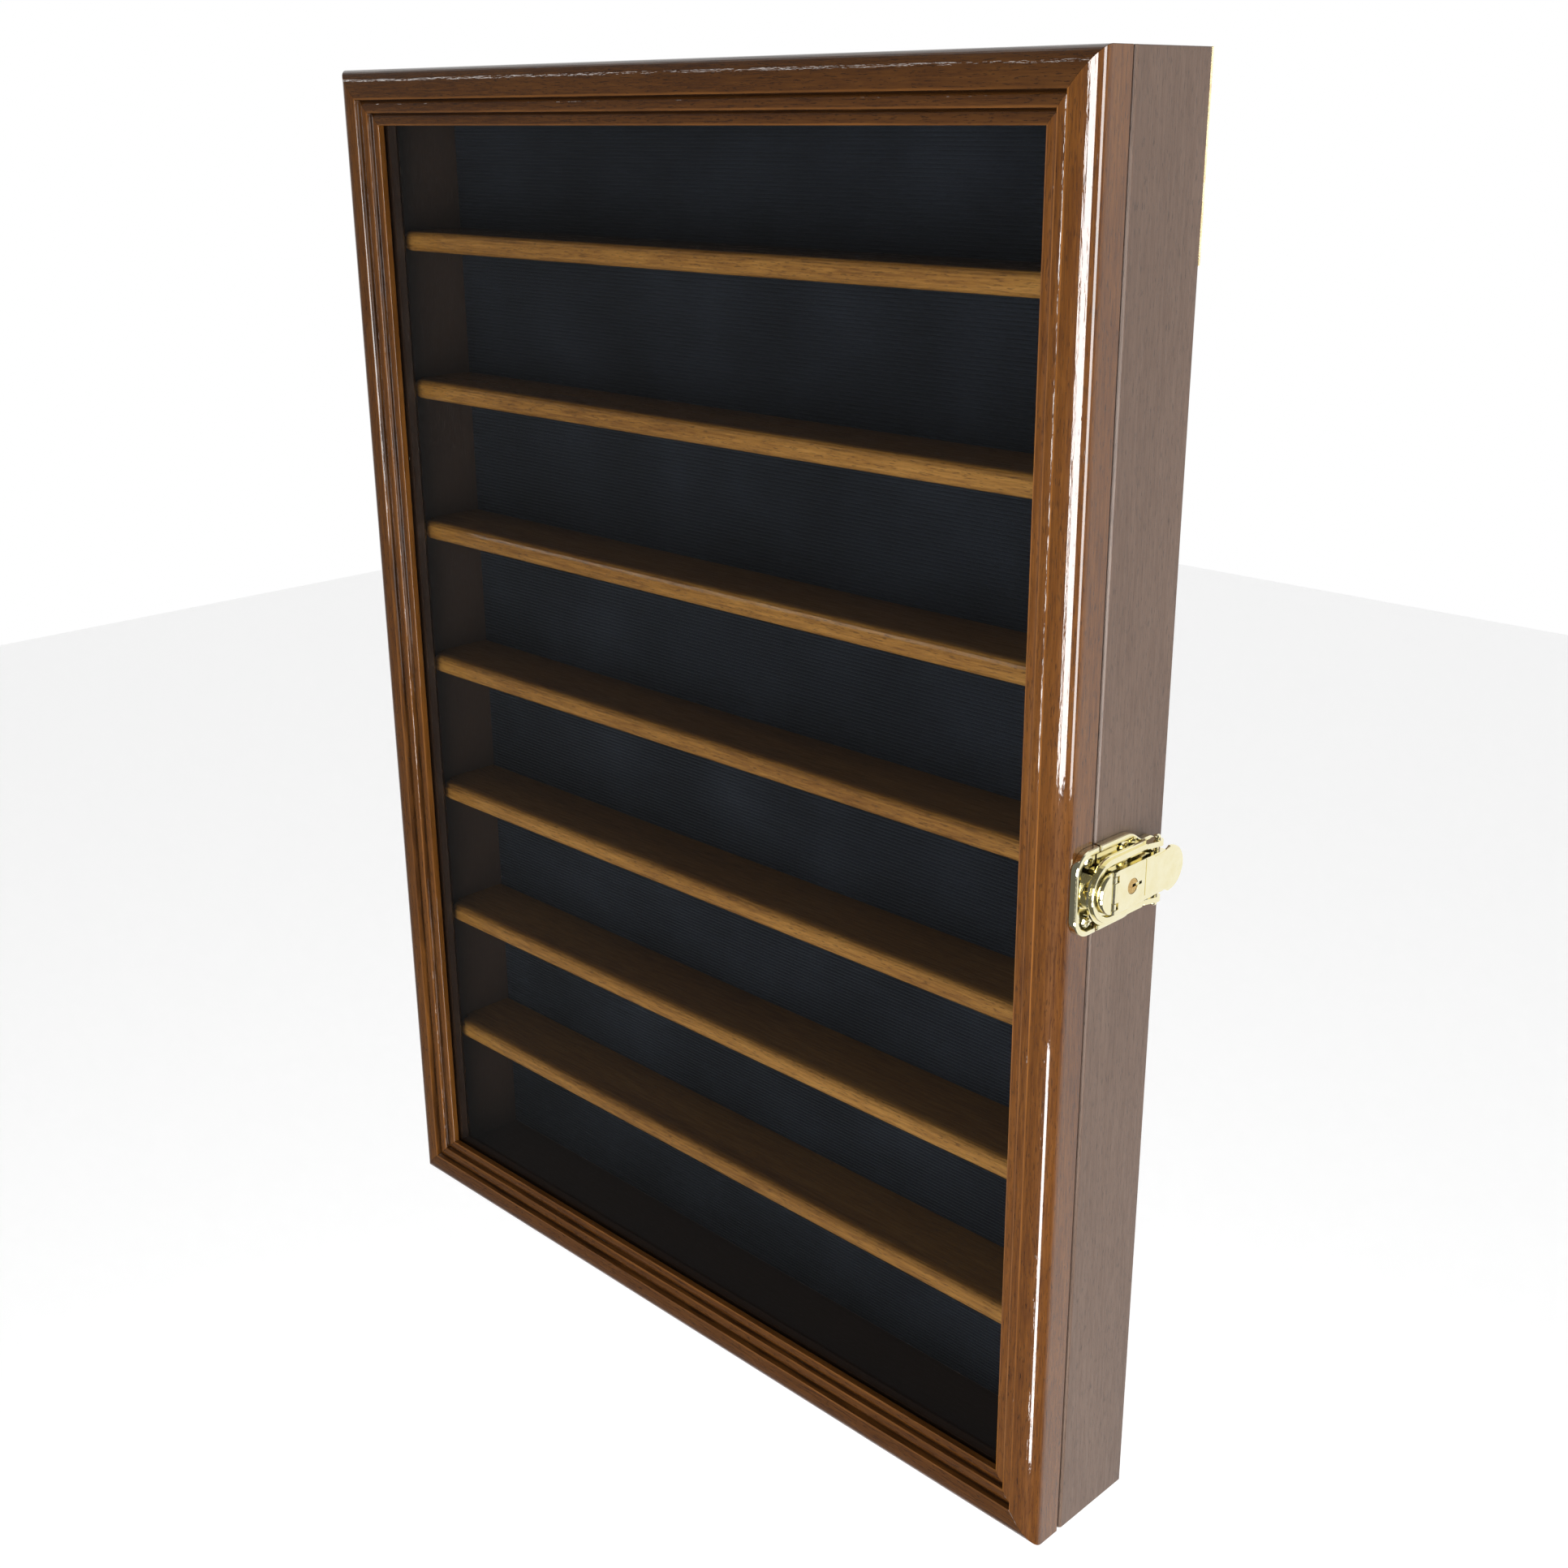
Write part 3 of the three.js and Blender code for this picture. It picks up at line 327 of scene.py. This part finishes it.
def lock_brass():
    """The lock's plug: browner brass, with painted shade, black, down in the key's slot."""
    g = Graph("brass_lock")
    turned = g.noise(g.coords, 900, 3, 0.6)
    colour = g.ramp(turned, [(0.35, (0.5, 0.31, 0.1)), (0.65, (0.72, 0.5, 0.2))])
    x, _, _ = g.axes()
    # painted shade: the key slot's depth painted black and not metallic
    slot_shade = g.span(g.math("MULTIPLY", g.math("SUBTRACT", LOCK_FACE_X, x), 1 / MM), 0.35, 0.7)
    return g.principled(
        Base_Color=g.mix(slot_shade, colour, (0.004, 0.003, 0.002)),
        Metallic=g.span(slot_shade, 0, 1, 1, 0),
        Roughness=g.span(turned, 0.3, 0.7, 0.2, 0.34),
        Normal=g.bump(turned, 0.00004, 0.5),
    )


ZINC_SHADES = ((0.42, 0.42, 0.43), (0.66, 0.66, 0.64), (0.74, 0.73, 0.66))


def zinc(name, share=1.0):
    """Bright zinc plate, or the same metal darkened to a share of its brightness."""
    g = Graph(name)
    spangle = g.noise(g.coords, 420, 3, 0.6)
    shades = [tuple(share * c for c in shade) for shade in ZINC_SHADES]
    colour = g.ramp(spangle, list(zip((0.3, 0.6, 0.75), shades)))
    return g.principled(
        Base_Color=colour,
        Metallic=1.0,
        Roughness=g.span(spangle, 0.3, 0.7, 0.42, 0.26),
        Normal=g.bump(spangle, 0.00008, 0.5),
    )


def cloth():
    g = Graph("cloth_blue_black")
    yarn = g.noise(g.stretch((1, 1, 3)), 1500, 3, 0.6)
    fuzz = g.noise(g.coords, 4200, 2)
    wear = g.noise(g.coords, 14, 3)
    tone = g.math("ADD", g.math("MULTIPLY", yarn, 0.6), g.math("MULTIPLY", wear, 0.4))
    dark, middle, light = (0.0015, 0.002, 0.003), (0.0045, 0.0055, 0.008), (0.011, 0.013, 0.018)
    colour = g.ramp(tone, [(0.35, dark), (0.5, middle), (0.68, light)])
    return g.principled(
        Base_Color=colour,
        Roughness=g.span(yarn, 0.3, 0.7, 0.95, 0.8),
        Normal=g.bump(g.math("ADD", yarn, g.math("MULTIPLY", fuzz, 0.5)), 0.00018, 0.7),
        Sheen_Weight=0.04,
        Sheen_Roughness=0.5,
        Specular_IOR_Level=0.02,
    )


HEAD_ON = 0.04          # plain glass's reflection at right angles
PANE_MIRROR = 0.4       # share of plain glass's reflection that the pane keeps


def clear_pane():
    """Clear sheet that light and sight pass, with a mirror film that grows at grazing angles."""
    g = Graph("pane_clear")
    smudge = g.noise(g.coords, 18, 3, 0.5)
    wave = g.noise(g.coords, 5, 1)
    tint = g.ramp(smudge, [(0.3, (0.97, 0.98, 0.976)), (0.7, (0.98, 0.988, 0.985))])
    through = g.add("ShaderNodeBsdfTransparent")
    g.put(through.inputs["Color"], tint)
    mirror = g.add("ShaderNodeBsdfGlossy")
    g.put(mirror.inputs["Color"], grey(1.0))
    g.put(mirror.inputs["Roughness"], g.span(smudge, 0.35, 0.7, 0.0, 0.03))
    g.put(mirror.inputs["Normal"], g.bump(wave, 0.0002, 0.1))
    grazing = g.math("POWER", g.add("ShaderNodeLayerWeight").outputs["Facing"], 5)
    reflected = g.math("ADD", g.math("MULTIPLY", grazing, 1 - HEAD_ON), HEAD_ON)
    both = g.add("ShaderNodeMixShader")
    g.put(both.inputs[0], g.math("MULTIPLY", reflected, PANE_MIRROR))
    g.put(both.inputs[1], through.outputs[0])
    g.put(both.inputs[2], mirror.outputs[0])
    g.put(g.output.inputs["Surface"], both.outputs[0])
    return g.material


def pale_floor():
    g = Graph("floor_pale")
    speck = g.noise(g.coords, 60, 4, 0.6)
    colour = g.ramp(speck, [(0.3, grey(0.78)), (0.7, grey(0.82))])
    return g.principled(
        Base_Color=colour,
        Roughness=g.span(speck, 0.3, 0.7, 0.75, 0.6),
        Normal=g.bump(speck, 0.0005, 0.1),
        Emission_Color=grey(1.0),
        Emission_Strength=0.45,
    )


def paint(material, *names):
    """Gives the named CAD pieces this one material."""
    for name in names:
        slots = nodes[name].data.materials
        slots.clear()
        slots.append(material)


# the four members share one stain at tones 0.88, 0.62, 0.42 and 0.5: painted light and shade for how each
# member is lit
paint(moulding("moulding_right", "Z", 0.88, (0.1, 0.2, 0.3)), "door_stile_right")
paint(moulding("moulding_left", "Z", 0.62, (1.7, 0.9, 0.4)), "door_stile_left")
paint(moulding("moulding_top", "X", 0.42, (0.4, 0.6, 1.3)), "door_rail_top")
paint(moulding("moulding_bottom", "X", 0.5, (2.1, 1.4, 0.2)), "door_rail_bottom")
upright_board = board("board_upright", "Z", (0.5, 0.2, 0.9))
level_board = board("board_level", "X", (0.8, 1.2, 0.1))
paint(upright_board, "case_right_side", "case_left_side", "pane_stop_left", "pane_stop_right")
paint(level_board, "case_top", "case_bottom", "pane_stop_top", "pane_stop_bottom")
paint(shelf_board("shelf_wood"), *[name for name in nodes if name.startswith("shelf_")])
paint(hardboard(), "back_panel")
paint(plywood(), "hanging_batten")
paint(clear_pane(), "door_pane")
brass_metal = brass("brass_polished", (0.91, 0.83, 0.51), (0.93, 0.86, 0.56), (0.95, 0.89, 0.61))
zinc_metal = zinc("zinc_plate")
for entry in frame["record"]["subparts"]:
    if entry["material_slot"] == "polished_brass":
        paint(brass_metal, entry["node"])
    if entry["material_slot"] == "zinc_steel":
        paint(zinc_metal, entry["node"])
paint(lock_brass(), "lock_plug")
paint(zinc("zinc_blackened", 0.05), "lock_case", "lock_cam")

# ---------------------------------------------------------------- eased edges on the boards
EASED = {
    "case_right_side": 0.45,
    "case_left_side": 0.45,
    "case_top": 0.45,
    "case_bottom": 0.45,
    "hanging_batten": 0.4,
    "back_panel": 0.3,
    "door_stile_right": 0.3,
    "door_stile_left": 0.3,
    "door_rail_top": 0.3,
    "door_rail_bottom": 0.3,
}
for name, radius in EASED.items():
    piece = nodes[name]
    weld = piece.modifiers.new("weld", "WELD")
    weld.merge_threshold = 1e-6
    ease = piece.modifiers.new("ease", "BEVEL")
    ease.width = radius * MM
    ease.segments = 2
    ease.limit_method = "ANGLE"
    ease.angle_limit = math.radians(40)
    ease.harden_normals = False

# ---------------------------------------------------------------- ribbed lining of the back
RIB_PITCH = 1.7 * MM
RIB_HEIGHT = 0.45 * MM
RIB_STEPS = 8
COLUMNS = 12


def ribbed_lining():
    """The back's cloth: one closed sheet with rounded level ribs in front, each a little uneven."""
    low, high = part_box("back_lining")
    count = int((high.z - low.z) / RIB_PITCH)
    rows = count * RIB_STEPS + 1
    points, faces = [], []
    for row in range(rows):
        phase = row / RIB_STEPS
        z = low.z + (high.z - low.z) * row / (rows - 1)
        crown = abs(math.sin(math.pi * phase)) ** 0.7
        for column in range(COLUMNS + 1):
            x = low.x + (high.x - low.x) * column / COLUMNS
            uneven = 0.85 + 0.15 * math.sin(column * 2.39 + math.floor(phase) * 1.7)
            points.append((x, low.y + RIB_HEIGHT * (1 - crown * uneven), z))
    width = COLUMNS + 1
    back = len(points)
    points += [(x, high.y, z) for z in (low.z, high.z) for x in (low.x, high.x)]
    for row in range(rows - 1):
        for column in range(COLUMNS):
            a = row * width + column
            faces.append((a, a + 1, a + 1 + width, a + width))
    last = (rows - 1) * width
    # the flat back, then the bottom, top, left and right edges
    faces.append((back + 1, back, back + 2, back + 3))
    faces.append(tuple(range(COLUMNS, -1, -1)) + (back, back + 1))
    faces.append(tuple(last + c for c in range(width)) + (back + 3, back + 2))
    faces.append(tuple(r * width for r in range(rows)) + (back + 2, back))
    faces.append(tuple(r * width + COLUMNS for r in range(rows - 1, -1, -1)) + (back + 1, back + 3))
    mesh = bpy.data.meshes.new("back_lining_ribbed")
    mesh.from_pydata(points, [], faces)
    ribs = (rows - 1) * COLUMNS
    mesh.polygons.foreach_set("use_smooth", [True] * ribs + [False] * (len(faces) - ribs))
    mesh.set_sharp_from_angle(angle=math.radians(70))
    mesh.materials.append(cloth())
    made = bpy.data.objects.new("back_lining_ribbed", mesh)
    bpy.context.scene.collection.objects.link(made)
    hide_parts("back_lining")
    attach(made, "case")


ribbed_lining()

# ---------------------------------------------------------------- camera, floor and light
CAMERA_AT = (0.6156, -0.604, 0.0167)
CAMERA_TURN = (70.309, 0.4, 44.85)      # degrees about X, Y and Z
LENS = 43.16                            # mm on a sensor 36 mm wide

camera_data = bpy.data.cameras.new("camera")
camera_data.lens = LENS
camera_data.sensor_width = 36
camera_data.clip_start = 0.01
camera = bpy.data.objects.new("camera", camera_data)
camera.location = CAMERA_AT
camera.rotation_euler = [math.radians(a) for a in CAMERA_TURN]
bpy.context.scene.collection.objects.link(camera)
bpy.context.scene.camera = camera

FLOOR_DROP = 1.2          # from the hanging case down to the floor
FLOOR_HALF = 6
floor_mesh = bpy.data.meshes.new("floor")
floor_z = case_low.z - FLOOR_DROP
corners = ((-1, -1), (1, -1), (1, 1), (-1, 1))
floor_mesh.from_pydata(
    [(FLOOR_HALF * x, FLOOR_HALF * y, floor_z) for x, y in corners], [], [(0, 1, 2, 3)]
)
floor_mesh.materials.append(pale_floor())
floor = bpy.data.objects.new("floor", floor_mesh)
bpy.context.scene.collection.objects.link(floor)
floor.visible_glossy = False

PALE_WALL = 0.97          # the room's brightness behind the case and in front of it
DIM_ROOM = 0.13


def pale_room():
    """A pale wall behind, which brass and side mirror; a dim room in front, which the door mirrors."""
    made = bpy.data.worlds.new("pale_room")
    made.use_nodes = True
    tree = made.node_tree
    background = tree.nodes["Background"]
    direction = tree.nodes.new("ShaderNodeTexCoord").outputs["Generated"]
    axes = tree.nodes.new("ShaderNodeSeparateXYZ")
    tree.links.new(direction, axes.inputs[0])
    share = tree.nodes.new("ShaderNodeMapRange")
    tree.links.new(axes.outputs["Y"], share.inputs["Value"])
    share.inputs["From Min"].default_value = -0.05
    share.inputs["From Max"].default_value = 0.2
    share.inputs["To Min"].default_value = DIM_ROOM
    share.inputs["To Max"].default_value = PALE_WALL
    # the backdrop itself is shown white all round
    backdrop = tree.nodes.new("ShaderNodeMath")
    backdrop.operation = "MAXIMUM"
    tree.links.new(share.outputs["Result"], backdrop.inputs[0])
    tree.links.new(tree.nodes.new("ShaderNodeLightPath").outputs["Is Camera Ray"], backdrop.inputs[1])
    tree.links.new(backdrop.outputs[0], background.inputs["Strength"])
    background.inputs["Color"].default_value = (1.0, 1.0, 1.0, 1)
    return made


bpy.context.scene.world = pale_room()
bpy.context.scene.view_settings.view_transform = "Standard"

# the mirrored lights leave the pane out, so that none of them shows as a bright panel across the shelves
unlit_by_strips = bpy.data.collections.new("unlit_by_strips")
unlit_by_strips.objects.link(nodes["door_pane"])
unlit_by_strips.collection_objects[0].light_linking.link_state = "EXCLUDE"


def softbox(name, at, aim, size_m, power, mirrored):
    """A rectangular light turned to face a point: one that is only mirrored, or one that only lights."""
    data = bpy.data.lights.new(name, "AREA")
    data.shape = "RECTANGLE"
    data.size, data.size_y = size_m
    data.energy = power
    lamp = bpy.data.objects.new(name, data)
    lamp.location = at
    direction = [b - a for a, b in zip(at, aim)]
    lamp.rotation_euler = Vector(direction).to_track_quat("-Z", "Y").to_euler()
    lamp.visible_camera = False
    lamp.visible_glossy = mirrored
    lamp.visible_diffuse = not mirrored
    if mirrored:
        lamp.light_linking.receiver_collection = unlit_by_strips
    bpy.context.scene.collection.objects.link(lamp)


MIDDLE = (0, -0.03, MIDDLE_Z)
softbox("key", (0.72, -1.32, -0.66), (0.2, -0.06, -0.66), (0.8, 1.95), 31, False)
softbox("front", (0.5, -1.75, -0.5), MIDDLE, (1.4, 1.4), 21, False)
softbox("side", (1.6, 0.1, -0.35), MIDDLE, (0.8, 1.2), 16, False)
softbox("top", (-0.2, -0.9, 1.5), MIDDLE, (1.4, 0.7), 7, False)
softbox("upper_strip", (0.55, -1.27, -0.3), (0.22, -0.06, -0.3), (0.64, 0.75), 26, True)
softbox("lower_strip", (0.45, -1.27, -1.25), (0.22, -0.06, -1.25), (0.26, 0.56), 8, True)
softbox("side_strip", (1.6, -0.55, -0.3), (0.22, -0.06, -0.3), (0.5, 0.9), 16, True)
softbox("top_strip", (-1.25, -0.86, 0.73), (-1.25, -0.06, 0.03), (1.7, 0.03), 1.0, True)
